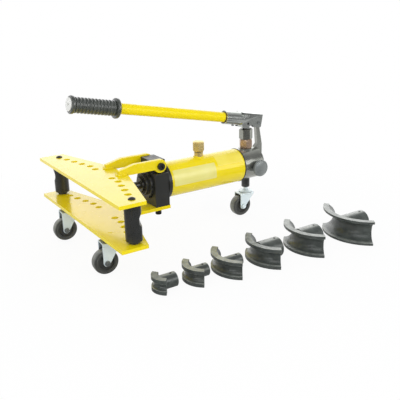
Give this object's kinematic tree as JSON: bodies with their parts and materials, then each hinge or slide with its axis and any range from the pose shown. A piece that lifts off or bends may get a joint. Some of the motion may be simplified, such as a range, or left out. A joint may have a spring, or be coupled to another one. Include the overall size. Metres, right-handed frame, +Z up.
{
  "type": "hydraulic pipe bender",
  "caption": "Hand-pumped hydraulic pipe bender on casters, with hinged wing plates, bending shoes on pins, an oil tank, a ram and a set of loose bending dies.",
  "frame": {"origin": "on the floor, on the machine's centre line, below the two outermost pin holes of the wing plates", "axes": "+X from the wing plates towards the pump, along the ram's axis and against its stroke; +Z up; the loose dies lie on the -Y side"},
  "size_m": [0.577, 0.5097, 0.3269],
  "materials": {
    "yellow_paint": "gloss yellow enamel",
    "black_paint": "semi-gloss black paint on cast iron",
    "black_steel": "blackened steel",
    "pump_iron": "gunmetal grey, machined",
    "head_steel": "satin grey",
    "bright_steel": "ground bright",
    "copper": "dull copper colour",
    "brass": "dull brass",
    "seal_rubber": "black, matt",
    "grip_rubber": "black ribbed rubber",
    "white_plastic": "white",
    "zinc": "bright zinc plating",
    "hub_iron": "dark grey",
    "tyre": "black rubber",
    "die_iron": "dark grey cast iron"
  },
  "bodies": {
    "frame": {"lower_plate": "yellow_paint", "front_block": "black_paint", "block_bolts": "black_steel", "pivot_bolts": "black_steel", "lock_ring": "black_paint", "tank_tube": "yellow_paint", "tank_gasket": "seal_rubber", "pressure_cylinder": "bright_steel", "front_gland": "black_paint", "rod_wiper": "seal_rubber", "return_spring": "bright_steel", "pump_body": "pump_iron", "pump_barrel": "copper", "pump_gland": "pump_iron", "pump_packing": "seal_rubber", "delivery_ball": "bright_steel", "filler_neck": "brass", "caster_near_stem": "zinc", "caster_far_stem": "zinc", "caster_rear_stem": "zinc"},
    "wing": {"upper_plate": "yellow_paint", "strap_near": "yellow_paint", "strap_far": "yellow_paint"},
    "ram": {"ram_rod": "bright_steel", "ram_piston": "bright_steel", "piston_seal": "seal_rubber"},
    "handle": {"handle_head": "head_steel", "handle_tube": "yellow_paint", "handle_grip": "grip_rubber", "grip_plug": "white_plastic", "handle_pivot_pin": "black_steel", "plunger_pin": "black_steel", "socket_screws": "black_steel"},
    "plunger": {"pump_plunger": "black_steel"},
    "release": {"release_knob": "pump_iron", "release_spindle": "bright_steel"},
    "filler": {"filler_cap": "brass", "cap_seal": "seal_rubber"},
    "near_shoe": {"shoe_near": "black_steel"},
    "far_shoe": {"shoe_far": "black_steel"},
    "near_swivel": {"caster_near_fork": "zinc", "caster_near_axle": "zinc"},
    "near_wheel": {"caster_near_hub": "hub_iron", "caster_near_tyre": "tyre"},
    "far_swivel": {"caster_far_fork": "zinc", "caster_far_axle": "zinc"},
    "far_wheel": {"caster_far_hub": "hub_iron", "caster_far_tyre": "tyre"},
    "rear_swivel": {"caster_rear_fork": "zinc", "caster_rear_axle": "zinc"},
    "rear_wheel": {"caster_rear_hub": "hub_iron", "caster_rear_tyre": "tyre"},
    "loose_die_1": {"die_1": "die_iron"},
    "loose_die_2": {"die_2": "die_iron"},
    "loose_die_3": {"die_3": "die_iron"},
    "loose_die_4": {"die_4": "die_iron"},
    "loose_die_5": {"die_5": "die_iron"},
    "loose_die_6": {"die_6": "die_iron"}
  },
  "joints": [
    {"name": "wing_lift", "type": "hinge", "parent": "frame", "child": "wing", "pos_m": [0.1385, 0, 0.1675], "axis": [0, 1, 0], "range_deg": [0, 40]},
    {"name": "ram_stroke", "type": "slide", "parent": "frame", "child": "ram", "axis": [-1, 0, 0], "range_m": [0, 0.16], "stiffness_N_per_m": 500, "springref_m": -0.03, "deforming": ["return_spring"]},
    {"name": "handle_pump", "type": "hinge", "parent": "frame", "child": "handle", "pos_m": [0.4101, 0, 0.219], "axis": [0, 1, 0], "range_deg": [0, 40]},
    {"name": "plunger_stroke", "type": "slide", "parent": "frame", "child": "plunger", "axis": [0, 0, 1], "range_m": [0, 0.0192]},
    {"name": "release_turn", "type": "hinge", "parent": "frame", "child": "release", "pos_m": [0.392, -0.036, 0.122], "axis": [0, 1, 0], "range_deg": [0, 180]},
    {"name": "filler_lift", "type": "slide", "parent": "frame", "child": "filler", "axis": [0, 0, 1], "range_m": [0, 0.035]},
    {"name": "near_shoe_turn", "type": "hinge", "parent": "frame", "child": "near_shoe", "pos_m": [0, -0.174, 0.125], "axis": [0, 0, 1], "continuous": true},
    {"name": "far_shoe_turn", "type": "hinge", "parent": "frame", "child": "far_shoe", "pos_m": [0, 0.174, 0.125], "axis": [0, 0, 1], "continuous": true},
    {"name": "near_caster_swivel", "type": "hinge", "parent": "frame", "child": "near_swivel", "pos_m": [-0.013, -0.102, 0.055], "axis": [0, 0, 1], "continuous": true},
    {"name": "near_wheel_spin", "type": "hinge", "parent": "near_swivel", "child": "near_wheel", "pos_m": [-0.02794, -0.10069, 0.025], "axis": [-0.0872, -0.9962, 0], "continuous": true},
    {"name": "far_caster_swivel", "type": "hinge", "parent": "frame", "child": "far_swivel", "pos_m": [-0.013, 0.102, 0.055], "axis": [0, 0, 1], "continuous": true},
    {"name": "far_wheel_spin", "type": "hinge", "parent": "far_swivel", "child": "far_wheel", "pos_m": [-0.02794, 0.10331, 0.025], "axis": [-0.0872, -0.9962, 0], "continuous": true},
    {"name": "rear_caster_swivel", "type": "hinge", "parent": "frame", "child": "rear_swivel", "pos_m": [0.3845, 0, 0.055], "axis": [0, 0, 1], "continuous": true},
    {"name": "rear_wheel_spin", "type": "hinge", "parent": "rear_swivel", "child": "rear_wheel", "pos_m": [0.36951, 0.00052, 0.025], "axis": [-0.0349, -0.9994, 0], "continuous": true},
    {"name": "die_1_lift", "type": "slide", "parent": "frame", "child": "loose_die_1", "axis": [0, 0, 1], "range_m": [0, 0.15]},
    {"name": "die_2_lift", "type": "slide", "parent": "frame", "child": "loose_die_2", "axis": [0, 0, 1], "range_m": [0, 0.15]},
    {"name": "die_3_lift", "type": "slide", "parent": "frame", "child": "loose_die_3", "axis": [0, 0, 1], "range_m": [0, 0.15]},
    {"name": "die_4_lift", "type": "slide", "parent": "frame", "child": "loose_die_4", "axis": [0, 0, 1], "range_m": [0, 0.15]},
    {"name": "die_5_lift", "type": "slide", "parent": "frame", "child": "loose_die_5", "axis": [0, 0, 1], "range_m": [0, 0.15]},
    {"name": "die_6_lift", "type": "slide", "parent": "frame", "child": "loose_die_6", "axis": [0, 0, 1], "range_m": [0, 0.15]}
  ],
  "couplings": [
    {"joint": "plunger_stroke", "follows": "handle_pump", "m_per_rad": 0.0273}
  ]
}
